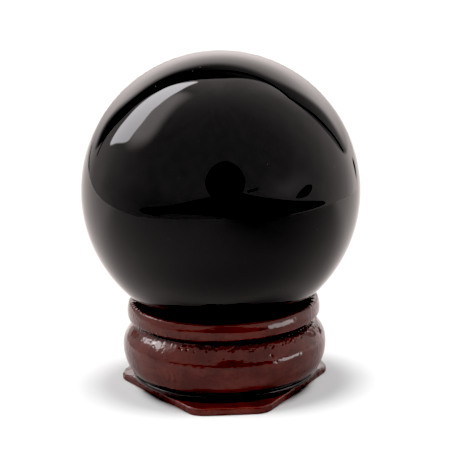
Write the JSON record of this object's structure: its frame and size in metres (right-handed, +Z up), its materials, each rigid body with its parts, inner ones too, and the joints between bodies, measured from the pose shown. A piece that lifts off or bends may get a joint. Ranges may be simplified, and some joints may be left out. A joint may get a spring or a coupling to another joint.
{
  "type": "crystal ball",
  "caption": "Polished opaque black sphere that rests loose in the dished top of a small turned, lacquered wooden stand with a flat-sided foot.",
  "frame": {"origin": "on the stand's axis, in the plane of the underside of the foot plate, below the centre of the ball", "axes": "+Z up through the stand and the ball, -Y to the front, where one short side of the foot plate faces, +X to the right"},
  "size_m": [0.05, 0.05, 0.061],
  "materials": {
    "black_glass": "opaque black glass or obsidian, polished to a mirror gloss",
    "lacquered_wood": "thick glossy red-brown lacquer over turned wood, stained nearly black in the grooves"
  },
  "bodies": {
    "stand": {"seat_ring": "lacquered_wood", "stand_body": "lacquered_wood", "foot_plate": "lacquered_wood"},
    "ball": {"crystal_ball": "black_glass"}
  },
  "joints": [
    {"name": "ball_lift", "type": "slide", "parent": "stand", "child": "ball", "axis": [0, 0, 1], "range_m": [0, 0.03]}
  ]
}
